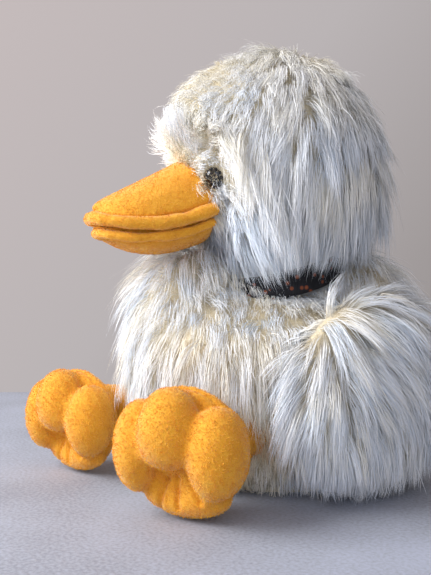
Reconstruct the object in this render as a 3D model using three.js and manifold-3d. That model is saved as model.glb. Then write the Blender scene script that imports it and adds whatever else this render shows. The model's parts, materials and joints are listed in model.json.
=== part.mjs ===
// A long-pile plush duck, sitting. Millimetres, +Z up.
// It faces -Y and its left side is +X. The origin is on the floor under the middle of the body.
// Every fur piece is drawn out to the ends of its pile, so its solid is as thick as the fur.

import * as THREE from 'three';
import * as BufferGeometryUtils from 'three/addons/utils/BufferGeometryUtils.js';
import Module from 'manifold-3d';

const wasm = await Module();
wasm.setup();

// ---------------------------------------------------------------- driving dimensions

const GAP = 0.35;                 // between pieces that touch
const FABRIC = 3;                 // backing fabric with its seam allowance
const DETAIL = 0.56;              // share of the facets that a fine model would have
const degrees = THREE.MathUtils.degToRad;

const SEAT = { radius: 74, thick: 4 };
const BODY = {
  widthScale: 0.83,               // the pile outline's width as a share of its depth
  fabricWidthScale: 0.94,         // the same for the backing fabric
  waist: 131,
  shoulder: 158,
  cavityRadius: 86,
  funnelRadius: 57,
  centreY: -5,
};

const NECK = { pivotZ: 158, radius: 40, bottomZ: 141, clearance: 2 };
const HEAD_TURN = degrees(-13);   // the head looks a little to the duck's right
const HEAD = {
  centre: new THREE.Vector3(0, -11, 243),
  fabric: new THREE.Vector3(70, 73, 70),
  pile: new THREE.Vector3(96, 99, 93),
  rimZ: 175,
};
const BAND = { inner: 43, thick: 3, height: 18, centreZ: 160, tilt: degrees(5) };

const BILL = { baseY: -66, tipY: -152, halfWidth: 34, lipRadius: 5.4, lowerLipRadius: 4.2 };
const EYE = {
  x: 38,
  z: 227,
  radius: 8.5,
  dome: 5.5,
  shankRadius: 2.4,
  shankLength: 15,
  washerRadius: 9,
  washerThick: 1.6,
};

const WING = { centre: new THREE.Vector3(103, 4, 79), pile: new THREE.Vector3(31, 84, 75), lining: 5 };
const HIP = { z: 47, tube: 20, socket: 22, lift: degrees(15) };
const LEGS = {
  left: { hip: [52, -70], foot: [70, -133], footYaw: degrees(30), footSize: 1.05 },
  right: { hip: [-50, -70], foot: [-76, -146], footYaw: degrees(17), footSize: 0.98 },
};
const FOOT = { discRadius: 44, thick: 24, ankleY: 25, toeReach: 86, seamY: 7, fold: degrees(10) };
const TAIL = {
  pivot: new THREE.Vector3(0, 106, 44),
  root: 18,
  reach: 46,
  rise: degrees(22),
  swing: degrees(12),
  clearance: 2,
};

// ---------------------------------------------------------------- colours and finishes

function finish(color, roughness = 0.95) {
  return new THREE.MeshStandardMaterial({ color, roughness, metalness: 0 });
}

const cream = '#e8e2d0';
const marigold = '#e9a021';
const stuffingWhite = '#f2f2f0';

// ---------------------------------------------------------------- solids

function solidOf(geometry) {
  const bare = geometry.clone();
  bare.deleteAttribute('normal');
  bare.deleteAttribute('uv');
  const merged = BufferGeometryUtils.mergeVertices(bare, 1e-4);
  return new wasm.Manifold(new wasm.Mesh({
    numProp: 3,
    vertProperties: merged.attributes.position.array,
    triVerts: Uint32Array.from(merged.index.array),
  }));
}

function geometryOf(solid) {
  const mesh = solid.getMesh();
  const geometry = new THREE.BufferGeometry();
  geometry.setAttribute('position', new THREE.BufferAttribute(mesh.vertProperties, 3));
  geometry.setIndex(new THREE.BufferAttribute(mesh.triVerts, 1));
  return geometry;
}

function meshOf(name, solid, material) {
  const mesh = new THREE.Mesh(geometryOf(solid), material);
  mesh.name = name;
  return mesh;
}

const facets = (count) => Math.max(6, Math.round(count * DETAIL));

function ellipsoid(centre, radii, around = 24, rings = 14) {
  const geometry = new THREE.SphereGeometry(1, facets(around), facets(rings)).rotateX(Math.PI / 2);
  geometry.scale(radii.x, radii.y, radii.z).translate(centre.x, centre.y, centre.z);
  return solidOf(geometry);
}

function ball(centre, radius, around = 20, rings = 12) {
  return ellipsoid(centre, new THREE.Vector3(radius, radius, radius), around, rings);
}

// A lathe about Z. The outline holds [radius, height] pairs and starts and ends on the axis.
function turned(outline, around = 32) {
  const points = outline.map(([radius, height]) => new THREE.Vector2(radius, height));
  return solidOf(new THREE.LatheGeometry(points, facets(around)).rotateX(Math.PI / 2));
}

function smooth(outline, count) {
  const curve = new THREE.SplineCurve(outline.map(([radius, height]) => new THREE.Vector2(radius, height)));
  return curve.getPoints(count).map((point) => [point.x, point.y]);
}

function block(low, high) {
  const size = new THREE.Vector3().subVectors(high, low);
  const middle = new THREE.Vector3().addVectors(low, high).multiplyScalar(0.5);
  return solidOf(new THREE.BoxGeometry(size.x, size.y, size.z).translate(middle.x, middle.y, middle.z));
}

// A rod with round ends from one point to another.
function capsule(from, to, radius, around = 18) {
  const along = new THREE.Vector3().subVectors(to, from);
  const geometry = new THREE.CapsuleGeometry(radius, along.length(), 4, facets(around));
  geometry.applyQuaternion(new THREE.Quaternion().setFromUnitVectors(
    new THREE.Vector3(0, 1, 0), along.clone().normalize()));
  const middle = new THREE.Vector3().addVectors(from, to).multiplyScalar(0.5);
  return solidOf(geometry.translate(middle.x, middle.y, middle.z));
}

const mirrorX = (solid) => solid.scale([-1, 1, 1]);
const grown = (radii, by) => radii.clone().addScalar(by);

// ---------------------------------------------------------------- body

// The torso's fur outline: a pear with a flat bottom.
function bodyOutline(grow = 0) {
  const side = [[98, 1.2], [112, 18], [120, 48], [BODY.waist, 92], [122, 130], [98, 151]];
  const curve = smooth(side.map(([radius, height]) => [radius + grow, height]), 7);
  return turned([[0, 1.2], ...curve, [72, BODY.shoulder], [0, BODY.shoulder]], 36)
    .scale([BODY.widthScale, 1, 1]).translate([0, BODY.centreY, 0]);
}

// The hollow inside the backing fabric, open at the seat and at the neck.
function bodyCavity(shrink = 0) {
  const wall = smooth([[80, 18], [BODY.cavityRadius, 50], [82, 92], [66, 126], [54, 140]], 6);
  const inset = wall.map(([radius, height]) => [radius - shrink, height]);
  const seatHole = SEAT.radius + GAP * 2;
  const below = [[0, -3], [seatHole, -3], [seatHole, 8]];
  const above = [[54 - shrink, NECK.bottomZ], [0, NECK.bottomZ]];
  return turned([...below, ...inset, ...above], 28).scale([BODY.fabricWidthScale, 1, 1]);
}

function legLine(side) {
  const leg = LEGS[side];
  const hip = new THREE.Vector3(leg.hip[0], leg.hip[1], HIP.z);
  const ankle = new THREE.Vector3(0, FOOT.ankleY, HIP.z)
    .applyAxisAngle(new THREE.Vector3(0, 0, 1), leg.footYaw)
    .add(new THREE.Vector3(leg.foot[0], leg.foot[1], 0));
  return { hip, ankle };
}

// The room that a leg needs from rest to fully lifted.
function legRoom(side) {
  const { hip, ankle } = legLine(side);
  const past = ankle.clone().sub(hip).multiplyScalar(1.4);
  const rods = [0, 1].map((share) => {
    const end = past.clone().applyAxisAngle(new THREE.Vector3(-1, 0, 0), HIP.lift * share).add(hip);
    return capsule(hip, end, HIP.socket, 16);
  });
  return rods[0].add(rods[1]);
}

function turnAbout(point, axis, angle) {
  return new THREE.Matrix4().makeTranslation(point)
    .multiply(new THREE.Matrix4().makeRotationAxis(axis, angle))
    .multiply(new THREE.Matrix4().makeTranslation(point.clone().negate()));
}

// The hollow that a foot presses in the belly fur as its leg lifts and it folds back.
function footRoom(side) {
  const { hip, ankle } = legLine(side);
  const { foot, footYaw, footSize } = LEGS[side];
  const across = new THREE.Vector3(-Math.cos(footYaw), -Math.sin(footYaw), 0);
  const rooms = [0, 1].map((share) => {
    const geometry = new THREE.SphereGeometry(1, 12, 8).scale(50 * footSize, 28 * footSize, 50 * footSize);
    geometry.rotateZ(footYaw).translate(foot[0], foot[1], HIP.z);
    geometry.applyMatrix4(turnAbout(ankle, across, FOOT.fold * share));
    geometry.applyMatrix4(turnAbout(hip, new THREE.Vector3(-1, 0, 0), HIP.lift * share));
    return solidOf(geometry);
  });
  return rooms[0].add(rooms[1]);
}

// The room that the tail needs from its lowest to its highest.
function tailRoom() {
  const across = new THREE.Vector3(1, 0, 0);
  const places = [-1, 0, 1].map((share) => {
    const turn = turnAbout(TAIL.pivot, across, TAIL.swing * share);
    return tailSolid(TAIL.clearance).transform(turn.elements);
  });
  return places.reduce((all, place) => all.add(place), ball(TAIL.pivot, TAIL.root + TAIL.clearance, 18, 10));
}

function buildBody(group) {
  const funnel = turned([[0, 139], [BODY.funnelRadius, 139], [BODY.funnelRadius, 170], [0, 170]], 28);
  const legs = legRoom('left').add(legRoom('right'));
  const feet = footRoom('left').add(footRoom('right'));
  const rooms = legs.add(feet).add(tailRoom());
  const shell = bodyOutline().subtract(bodyCavity()).subtract(funnel).subtract(rooms);
  group.add(meshOf('body_fur_shell', shell, finish(cream)));

  const seat = turned([[0, 0], [SEAT.radius, 0], [SEAT.radius, SEAT.thick], [0, SEAT.thick]], 28)
    .scale([BODY.fabricWidthScale, 1, 1]);
  group.add(meshOf('seat_panel', seat, finish('#d9d2c0')));

  const bag = turned([[0, 5], [58, 5], [62, 11], [58, 17], [0, 19]], 24);
  group.add(meshOf('seat_bean_bag', bag, finish('#d8d8d4')));

  const layer = block(new THREE.Vector3(-150, -150, 20), new THREE.Vector3(150, 150, NECK.bottomZ - 2));
  const hips = block(new THREE.Vector3(-150, -150, 0), new THREE.Vector3(150, -46, HIP.z + HIP.socket + 2));
  const filling = bodyCavity(FABRIC).intersect(layer).subtract(hips);
  group.add(meshOf('body_filling', filling, finish(stuffingWhite)));
}

// ---------------------------------------------------------------- neck and its printed band

function neckSolid(radius, bottomZ) {
  const cap = ball(new THREE.Vector3(0, 0, NECK.pivotZ), radius, 28, 16);
  const stem = turned([[0, bottomZ], [radius, bottomZ], [radius, NECK.pivotZ], [0, NECK.pivotZ]], 28);
  const wide = NECK.radius + 20;
  const above = block(
    new THREE.Vector3(-wide, -wide, bottomZ), new THREE.Vector3(wide, wide, NECK.pivotZ + wide));
  return cap.intersect(above).add(stem);
}

function buildNeck(group) {
  group.add(meshOf('neck_filling', neckSolid(NECK.radius, NECK.bottomZ), finish(stuffingWhite)));

  const half = BAND.height / 2;
  const outer = BAND.inner + BAND.thick;
  const ring = new THREE.LatheGeometry([
    new THREE.Vector2(BAND.inner, -half), new THREE.Vector2(outer, -half),
    new THREE.Vector2(outer, half), new THREE.Vector2(BAND.inner, half),
    new THREE.Vector2(BAND.inner, -half)], 36).rotateX(Math.PI / 2);
  ring.rotateX(BAND.tilt).translate(0, 0, BAND.centreZ);
  group.add(meshOf('neck_band', solidOf(ring), finish('#1c1b1f', 0.85)));
}

// ---------------------------------------------------------------- head, bill and eyes

// Where an eye sits on the head's fabric, and which way it looks.
function eyeSeat() {
  const { centre, fabric } = HEAD;
  const across = EYE.x / fabric.x;
  const up = (EYE.z - centre.z) / fabric.z;
  const y = centre.y - fabric.y * Math.sqrt(1 - across * across - up * up);
  const outward = new THREE.Vector3(across / fabric.x, (y - centre.y) / fabric.y ** 2, up / fabric.z);
  outward.normalize();
  return { point: new THREE.Vector3(EYE.x, y, EYE.z), outward };
}

// A lathe outline about an eye's own axis, set on the left side of the face.
function onEyeAxis(outline, around = 20) {
  const { point, outward } = eyeSeat();
  const points = outline.map(([radius, height]) => new THREE.Vector2(radius, height));
  const geometry = new THREE.LatheGeometry(points, facets(around));
  geometry.applyQuaternion(new THREE.Quaternion().setFromUnitVectors(new THREE.Vector3(0, 1, 0), outward));
  return solidOf(geometry.translate(point.x, point.y, point.z));
}

function eyeSolid() {
  const dome = [0.25, 0.5, 0.75, 1].map((share) => {
    const angle = share * Math.PI / 2;
    return [EYE.radius * Math.cos(angle), 1 + EYE.dome * Math.sin(angle)];
  });
  dome[dome.length - 1][0] = 0;
  const shank = [[0, -EYE.shankLength], [EYE.shankRadius, -EYE.shankLength], [EYE.shankRadius, 0.4]];
  return onEyeAxis([...shank, [EYE.radius, 0.4], [EYE.radius, 1], ...dome]);
}

function washerSolid() {
  const inner = EYE.shankRadius + GAP;
  const back = -FABRIC - 5.4;
  const front = back + EYE.washerThick;
  return onEyeAxis([
    [inner, back], [EYE.washerRadius, back], [EYE.washerRadius, front], [inner, front], [inner, back]]);
}

// The parting in the pile around an eye, a cone that widens outwards.
function eyeRecess() {
  return onEyeAxis([[0, 0], [EYE.radius + 1, 0], [EYE.radius + 14, 34], [0, 34]]);
}

function eyeBore() {
  const radius = EYE.shankRadius + GAP;
  return onEyeAxis([[0, -EYE.shankLength - 3], [radius, -EYE.shankLength - 3], [radius, 5], [0, 5]], 12);
}

// The height of the mouth line along the bill: it sags in the middle and lifts at the tip.
function mouthZ(y) {
  const share = (BILL.baseY - y) / (BILL.baseY - BILL.tipY);
  return 206 - 38 * share + 30 * share * share;
}

function billHalfWidth(y) {
  const share = THREE.MathUtils.clamp((BILL.baseY - y) / (BILL.baseY - BILL.tipY), 0, 1);
  return BILL.halfWidth * Math.pow(1 - Math.pow(share, 3.4), 0.55) + 0.4;
}

// How far the upper bill's ridge stands above the mouth line.
function ridgeRise(y) {
  const share = THREE.MathUtils.clamp((BILL.baseY - y) / (BILL.baseY - BILL.tipY), 0, 1);
  return 8 + 36 * Math.pow(1 - Math.pow(share, 1.7), 0.9);
}

// How far the lower bill's belly hangs below the mouth line.
function jawSink(y) {
  const share = THREE.MathUtils.clamp((BILL.baseY - y) / (BILL.baseY - BILL.tipY), 0, 1);
  return 4 + 16 * Math.pow(1 - Math.pow(share, 3), 0.8);
}

// A pad along the bill with a flat face at the mouth. It rises above that face, or sinks below it.
function billPad(offset, above, below, widthShare) {
  const length = BILL.baseY - BILL.tipY;
  const geometry = new THREE.CylinderGeometry(1, 1, 1, 18, 9);
  const position = geometry.attributes.position;
  for (let i = 0; i < position.count; i += 1) {
    const y = BILL.tipY + (position.getY(i) + 0.5) * length;
    const up = position.getZ(i);
    const reach = up > 0 ? above(y) : below(y);
    position.setXYZ(i, position.getX(i) * billHalfWidth(y) * widthShare, y, mouthZ(y) + offset + reach * up);
  }
  return solidOf(geometry);
}

// The rolled lip, a tube of stuffed plush around the bill's edge.
function billLip(radius, drop, inset, back = 0) {
  const points = [];
  const steps = 22;
  for (let i = 0; i <= steps; i += 1) {
    const angle = Math.PI * i / steps;
    const reach = Math.pow(Math.sin(angle), 0.75);
    const y = BILL.baseY + back + (BILL.tipY - BILL.baseY - back + inset) * reach;
    const side = Math.sign(Math.cos(angle)) * Math.pow(Math.abs(Math.cos(angle)), 0.62);
    points.push(new THREE.Vector3((BILL.halfWidth - inset) * side, y, mouthZ(y) - drop));
  }
  const path = new THREE.CatmullRomCurve3(points);
  const section = new THREE.Shape().absarc(0, 0, radius, 0, Math.PI * 2);
  const options = { steps, curveSegments: 5, extrudePath: path, bevelEnabled: false };
  return solidOf(new THREE.ExtrudeGeometry(section, options));
}

function buildHead(group) {
  const { centre, fabric, pile } = HEAD;
  const backing = grown(fabric, -FABRIC);
  const far = 200;
  const skull = ellipsoid(centre, grown(fabric, GAP), 28, 18);

  const lip = billLip(BILL.lipRadius, 0, 0).subtract(skull);
  const drop = BILL.lipRadius + BILL.lowerLipRadius + GAP;
  const lowerLip = billLip(BILL.lowerLipRadius, drop, 4).subtract(skull);
  const fatLip = billLip(BILL.lipRadius + GAP, 0, 0);
  const fatLowerLip = billLip(BILL.lowerLipRadius + GAP, drop, 4);
  const flat = () => 0.3;
  const eyeRooms = eyeRecess().add(mirrorX(eyeRecess()));
  const upper = billPad(1.5, ridgeRise, flat, 0.98).subtract(fatLip).subtract(skull).subtract(eyeRooms);
  const lower = billPad(-3.5, flat, jawSink, 0.86).subtract(fatLip).subtract(fatLowerLip).subtract(skull);

  const billRoom = ellipsoid(new THREE.Vector3(0, -116, 213), new THREE.Vector3(46, 62, 40), 24, 14)
    .add(billPad(0, (y) => ridgeRise(y) + 4, (y) => jawSink(y) + 6, 1.3));
  const low = HEAD.rimZ - far;
  const below = [[0, low], [far, low], [far, HEAD.rimZ]];
  const underside = turned([...below, [62, HEAD.rimZ], [60, 184], [0, 184]], 28);
  const socket = ball(new THREE.Vector3(0, 0, NECK.pivotZ), NECK.radius + NECK.clearance, 28, 16);
  const cavity = ellipsoid(centre, backing, 24, 16);
  const lipRoom = billLip(BILL.lipRadius + 2, 0, 0, 8)
    .add(billLip(BILL.lowerLipRadius + 2, 2 * BILL.lipRadius, 4, 8));
  const face = billRoom.add(lipRoom).add(socket).add(underside).add(cavity);
  let shell = ellipsoid(centre, pile, 32, 20).subtract(face);
  for (const side of [1, -1]) {
    const place = (solid) => (side > 0 ? solid : mirrorX(solid));
    shell = shell.subtract(place(eyeRecess())).subtract(place(eyeBore()));
    const name = side > 0 ? 'left' : 'right';
    group.add(meshOf(`eye_${name}`, place(eyeSolid()), finish('#0b0a09', 0.08)));
    group.add(meshOf(`eye_washer_${name}`, place(washerSolid()), finish('#e6e6e2', 0.5)));
  }
  group.add(meshOf('head_fur_shell', shell, finish(cream)));

  const shankRoom = onEyeAxis([[0, -22], [12, -22], [12, 0], [0, 0]], 12);
  const filling = ellipsoid(centre, grown(backing, -6.5), 24, 14)
    .subtract(socket).subtract(underside).subtract(shankRoom).subtract(mirrorX(shankRoom));
  group.add(meshOf('head_filling', filling, finish(stuffingWhite)));

  group.add(meshOf('bill_upper', upper, finish(marigold)));
  group.add(meshOf('bill_upper_lip', lip, finish(marigold)));
  group.add(meshOf('bill_lower', lower, finish(marigold)));
  group.add(meshOf('bill_lower_lip', lowerLip, finish(marigold)));
}

// ---------------------------------------------------------------- wings

function buildWings(group) {
  const { centre, pile, lining } = WING;
  const whole = ellipsoid(centre, pile, 28, 16);
  const body = bodyOutline(1.2).scale([1.006, 1, 1]);
  const liner = bodyOutline(1.2 + lining).scale([1.006, 1, 1]);
  const core = ellipsoid(centre, grown(pile, -7), 24, 14);
  const outer = whole.subtract(liner);
  const inner = core.intersect(bodyOutline(1.2 + lining - GAP).scale([1.006, 1, 1])).subtract(body);
  for (const side of [1, -1]) {
    const place = (solid) => (side > 0 ? solid : mirrorX(solid));
    const name = side > 0 ? 'left' : 'right';
    group.add(meshOf(`wing_${name}_outer`, place(outer), finish(cream)));
    group.add(meshOf(`wing_${name}_lining`, place(inner), finish(cream)));
  }
}

// ---------------------------------------------------------------- legs and feet

function footBlob(size, shrink = 0) {
  const lobe = (x, y, z, rx, ry, rz) => ellipsoid(
    new THREE.Vector3(x, y, z).multiplyScalar(size),
    new THREE.Vector3(rx, ry, rz).multiplyScalar(size).subScalar(shrink), 17, 11);
  const disc = lobe(0, 3, FOOT.discRadius + 0.6, FOOT.discRadius, FOOT.thick - 3, FOOT.discRadius);
  const middleToe = lobe(0, -9, FOOT.toeReach - 29, 22, 22, 29);
  const innerToe = lobe(-27, -3, 43, 20, 24, 29);
  const outerToe = lobe(27, -3, 43, 20, 24, 29);
  return disc.add(middleToe).add(innerToe).add(outerToe);
}

function buildLeg(side, group) {
  const { hip, ankle } = legLine(side);
  const inside = HIP.tube - FABRIC;
  const opening = hip.clone().add(hip.clone().sub(ankle).setLength(30));
  const tube = capsule(hip, ankle, HIP.tube).subtract(capsule(hip, ankle, inside))
    .subtract(capsule(opening, hip, 13, 14));
  group.add(meshOf(`leg_${side}_tube`, tube, finish(marigold)));
  group.add(meshOf(`leg_${side}_filling`, capsule(hip, ankle, inside - GAP), finish(stuffingWhite)));
}

// The room in a foot for its leg's round end, from rest to the foot folded back.
function ankleRoom(side, ankle, foot) {
  const upright = new THREE.Vector3(0, 0, 1);
  const toHip = legLine(side).hip.sub(foot.position).applyAxisAngle(upright, -LEGS[side].footYaw).sub(ankle);
  const folded = toHip.clone().applyAxisAngle(new THREE.Vector3(1, 0, 0), FOOT.fold);
  const rods = [toHip, folded].map((reach) => capsule(ankle, reach.clone().add(ankle), HIP.socket, 18));
  return ball(ankle, HIP.tube + 3, 18, 12).add(rods[0]).add(rods[1]);
}

function buildFoot(side, group) {
  const leg = LEGS[side];
  const foot = new THREE.Group();
  foot.position.set(leg.foot[0], leg.foot[1], 0);
  foot.rotation.z = leg.footYaw;
  const ankle = new THREE.Vector3(0, FOOT.ankleY, HIP.z);
  const socket = ankleRoom(side, ankle, foot);
  const hollow = footBlob(leg.footSize, FABRIC);
  const wall = footBlob(leg.footSize).subtract(hollow).subtract(socket);
  const ahead = block(new THREE.Vector3(-80, -80, -20), new THREE.Vector3(80, FOOT.seamY, 120));
  const behind = block(new THREE.Vector3(-80, FOOT.seamY + GAP, -20), new THREE.Vector3(80, 80, 120));
  foot.add(meshOf(`foot_${side}_sole_panel`, wall.intersect(ahead), finish(marigold)));
  foot.add(meshOf(`foot_${side}_top_panel`, wall.intersect(behind), finish(marigold)));
  const filling = footBlob(leg.footSize, FABRIC + GAP).subtract(socket);
  foot.add(meshOf(`foot_${side}_filling`, filling, finish(stuffingWhite)));
  group.add(foot);
}

// ---------------------------------------------------------------- tail

function tailSolid(grow = 0) {
  const { pivot, root, reach, rise } = TAIL;
  const backwards = new THREE.Vector3(0, Math.cos(rise), Math.sin(rise));
  const middle = pivot.clone().add(backwards.multiplyScalar(reach * 0.5));
  const radii = grown(new THREE.Vector3(root - 1, reach * 0.5, root - 4), grow);
  const plume = ellipsoid(new THREE.Vector3(), radii, 20, 12)
    .rotate([THREE.MathUtils.radToDeg(rise), 0, 0]).translate([middle.x, middle.y, middle.z]);
  return plume.add(ball(pivot, root + grow, 20, 12));
}

function buildTail(group) {
  group.add(meshOf('tail_fur', tailSolid(), finish(cream)));
}

// ---------------------------------------------------------------- the whole duck

const duck = new THREE.Group();
buildBody(duck);
buildNeck(duck);
const headGroup = new THREE.Group();
headGroup.rotation.z = HEAD_TURN;
buildHead(headGroup);
duck.add(headGroup);
buildWings(duck);
for (const side of ['left', 'right']) {
  buildLeg(side, duck);
  buildFoot(side, duck);
}
buildTail(duck);

export default duck;
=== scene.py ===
# %% [markdown]
# # A sitting plush duck in long-pile fur
# The duck is a sewn toy. Its head, body, wings and tail are cream faux fur with a pile of 20 to 60 mm.
# Its bill, legs and feet are marigold minky, a knitted plush with a short pile.
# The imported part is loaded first, and every piece is then placed from the boxes of its nodes.

import json
import math

import bpy
import numpy as np
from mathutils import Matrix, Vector
from mathutils.bvhtree import BVHTree
from mathutils.kdtree import KDTree


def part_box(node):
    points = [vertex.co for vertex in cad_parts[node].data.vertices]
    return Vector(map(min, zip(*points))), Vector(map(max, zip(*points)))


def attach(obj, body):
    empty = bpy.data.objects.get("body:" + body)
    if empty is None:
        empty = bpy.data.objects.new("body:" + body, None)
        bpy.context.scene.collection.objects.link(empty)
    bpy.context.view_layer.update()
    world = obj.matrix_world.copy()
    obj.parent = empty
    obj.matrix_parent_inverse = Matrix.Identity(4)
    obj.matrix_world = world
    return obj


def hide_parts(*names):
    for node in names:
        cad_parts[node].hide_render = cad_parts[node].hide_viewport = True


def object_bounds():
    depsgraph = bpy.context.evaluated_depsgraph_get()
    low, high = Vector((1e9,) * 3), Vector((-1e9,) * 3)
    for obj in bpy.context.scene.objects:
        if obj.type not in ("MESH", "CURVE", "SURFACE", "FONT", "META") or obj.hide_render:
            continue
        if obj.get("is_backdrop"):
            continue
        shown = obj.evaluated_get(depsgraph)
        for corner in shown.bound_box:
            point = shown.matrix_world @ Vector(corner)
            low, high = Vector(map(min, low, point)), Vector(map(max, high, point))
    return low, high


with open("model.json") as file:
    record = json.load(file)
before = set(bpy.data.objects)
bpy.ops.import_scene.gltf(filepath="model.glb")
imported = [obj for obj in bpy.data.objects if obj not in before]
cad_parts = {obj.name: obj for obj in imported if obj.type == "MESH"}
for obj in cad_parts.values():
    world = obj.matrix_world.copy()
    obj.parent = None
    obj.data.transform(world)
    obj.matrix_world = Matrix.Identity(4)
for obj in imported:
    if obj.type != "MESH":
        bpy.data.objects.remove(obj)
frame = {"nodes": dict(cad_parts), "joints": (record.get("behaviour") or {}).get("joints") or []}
cad_low, cad_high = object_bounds()
scene = bpy.context.scene
mm = 0.001
print("the part is", [round(side / mm) for side in cad_high - cad_low], "mm")

# %% [markdown]
# ## Camera
# The camera stands low, in front of the duck's left cheek, and looks down by under three degrees.
# A 50 mm lens at about 0.65 m gives the gentle perspective of a picture taken from across a table.

# %% The camera
VIEW_TURN = math.radians(57)
VIEW_PITCH = math.radians(2.69)
CAMERA_ASIDE, CAMERA_BACK, CAMERA_HEIGHT = 52 * mm, 640 * mm, 175 * mm
sideways = Vector((math.cos(VIEW_TURN), math.sin(VIEW_TURN), 0))
forwards = Vector((-math.sin(VIEW_TURN), math.cos(VIEW_TURN), 0))
upwards = Vector((0, 0, 1))


def add_camera():
    data = bpy.data.cameras.new("camera")
    data.lens = 50
    camera = bpy.data.objects.new("camera", data)
    scene.collection.objects.link(camera)
    camera.location = -CAMERA_ASIDE * sideways - CAMERA_BACK * forwards + CAMERA_HEIGHT * upwards
    aim = forwards * math.cos(VIEW_PITCH) - upwards * math.sin(VIEW_PITCH)
    camera.rotation_euler = aim.to_track_quat("-Z", "Y").to_euler()
    return camera


scene.camera = add_camera()
scene.view_settings.view_transform = "Standard"
print("camera at", [round(part, 3) for part in scene.camera.location])

# %% [markdown]
# ## Helpers for materials
# Every finish is a Principled surface whose colour, and for cloth its bump, comes from nodes.
# Colours are written as sRGB hex values and turned to the linear values that Blender works in.

# %% Colour and node helpers
def linear(hex_colour):
    parts = [int(hex_colour[i : i + 2], 16) / 255 for i in (1, 3, 5)]
    bright = [part / 12.92 if part <= 0.04045 else ((part + 0.055) / 1.055) ** 2.4 for part in parts]
    return (*bright, 1.0)


def add_node(tree, kind, settings=None, links=None):
    made = tree.nodes.new(kind)
    for name, value in (settings or {}).items():
        if name in made.inputs:
            made.inputs[name].default_value = value
        else:
            setattr(made, name, value)
    for name, source in (links or {}).items():
        tree.links.new(source, made.inputs[name])
    return made


def new_material(name, roughness, settings=None):
    material = bpy.data.materials.new(name)
    material.use_nodes = True
    surface = material.node_tree.nodes["Principled BSDF"]
    surface.inputs["Roughness"].default_value = roughness
    for socket, value in (settings or {}).items():
        surface.inputs[socket].default_value = value
    return material, material.node_tree, surface


def ramp_of(tree, source, stops):
    ramp = add_node(tree, "ShaderNodeValToRGB", links={"Fac": source})
    elements = ramp.color_ramp.elements
    while len(elements) < len(stops):
        elements.new(0.5)
    for element, (place, hex_colour) in zip(elements, stops):
        element.position = place
        element.color = linear(hex_colour)
    return ramp.outputs["Color"]


# %% [markdown]
# ## Floor, backdrop and light
# The floor is a pale stone-grey table top whose far edge is behind the duck, and the plain warm grey
# beyond it is the world, which darkens to the right so that the duck's near side falls into shade. A
# large soft lamp on the left is the main light. A weak cool lamp above the camera does what a window
# does: it tints the shaded fur blue.

# %% Floor
def pale_stone():
    material, tree, surface = new_material("pale_honed_stone", 0.7)
    place = add_node(tree, "ShaderNodeTexCoord").outputs["Object"]
    grit = add_node(tree, "ShaderNodeTexNoise", {"Scale": 420, "Detail": 3}, {"Vector": place})
    cloud = add_node(tree, "ShaderNodeTexNoise", {"Scale": 7, "Detail": 3}, {"Vector": place})
    mixed = add_node(
        tree, "ShaderNodeMix", {"Factor": 0.5}, {"A": grit.outputs["Fac"], "B": cloud.outputs["Fac"]})
    colour = ramp_of(tree, mixed.outputs["Result"], [(0.36, "#8c8e96"), (0.5, "#a0a4ae"), (0.64, "#adb2c0")])
    tree.links.new(colour, surface.inputs["Base Color"])
    bump = add_node(
        tree, "ShaderNodeBump", {"Strength": 0.15, "Distance": 0.4 * mm}, {"Height": grit.outputs["Fac"]})
    tree.links.new(bump.outputs["Normal"], surface.inputs["Normal"])
    return material


def add_floor():
    near, far, half_width = -900, 337, 1100
    corners = [(-half_width, near), (half_width, near), (half_width, far), (-half_width, far)]
    places = [(sideways * across + forwards * ahead) * mm for across, ahead in corners]
    mesh = bpy.data.meshes.new("floor")
    mesh.from_pydata([tuple(place) for place in places], [], [(0, 1, 2, 3)])
    mesh.materials.append(pale_stone())
    floor = bpy.data.objects.new("floor", mesh)
    scene.collection.objects.link(floor)
    floor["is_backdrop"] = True
    return floor


add_floor()

# %% Light
MIDDLE_HEIGHT = 170 * mm


def add_lamp(name, place, power, size, hex_colour):
    data = bpy.data.lights.new(name, "AREA")
    data.energy = power
    data.size = size
    data.color = linear(hex_colour)[:3]
    lamp = bpy.data.objects.new(name, data)
    scene.collection.objects.link(lamp)
    lamp.location = place
    target = Vector((0, 0, MIDDLE_HEIGHT))
    lamp.rotation_euler = (target - lamp.location).to_track_quat("-Z", "Y").to_euler()


def add_world():
    world = bpy.data.worlds.new("warm_grey_wall")
    world.use_nodes = True
    tree = world.node_tree
    place = add_node(tree, "ShaderNodeTexCoord").outputs["Generated"]
    across = add_node(tree, "ShaderNodeVectorMath", {"operation": "DOT_PRODUCT"}, {0: place})
    across.inputs[1].default_value = 0.8 * sideways - 0.6 * upwards
    share = add_node(
        tree, "ShaderNodeMapRange", {"From Min": -0.4, "From Max": 1.0}, {"Value": across.outputs["Value"]})
    colour = ramp_of(
        tree, share.outputs["Result"],
        [(0.0, "#c6bcbc"), (0.25, "#bab4b5"), (0.43, "#a19b9b"), (0.5, "#989392"), (0.8, "#5c5a5c")])
    tree.links.new(colour, tree.nodes["Background"].inputs["Color"])
    scene.world = world


add_world()
add_lamp("soft_key", -1.0 * sideways - 0.3 * forwards + 0.7 * upwards, 21, 0.8, "#f8faff")
add_lamp("cool_fill", -0.1 * sideways - 1.1 * forwards + 0.5 * upwards, 3.0, 0.7, "#cfe1ff")
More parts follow.
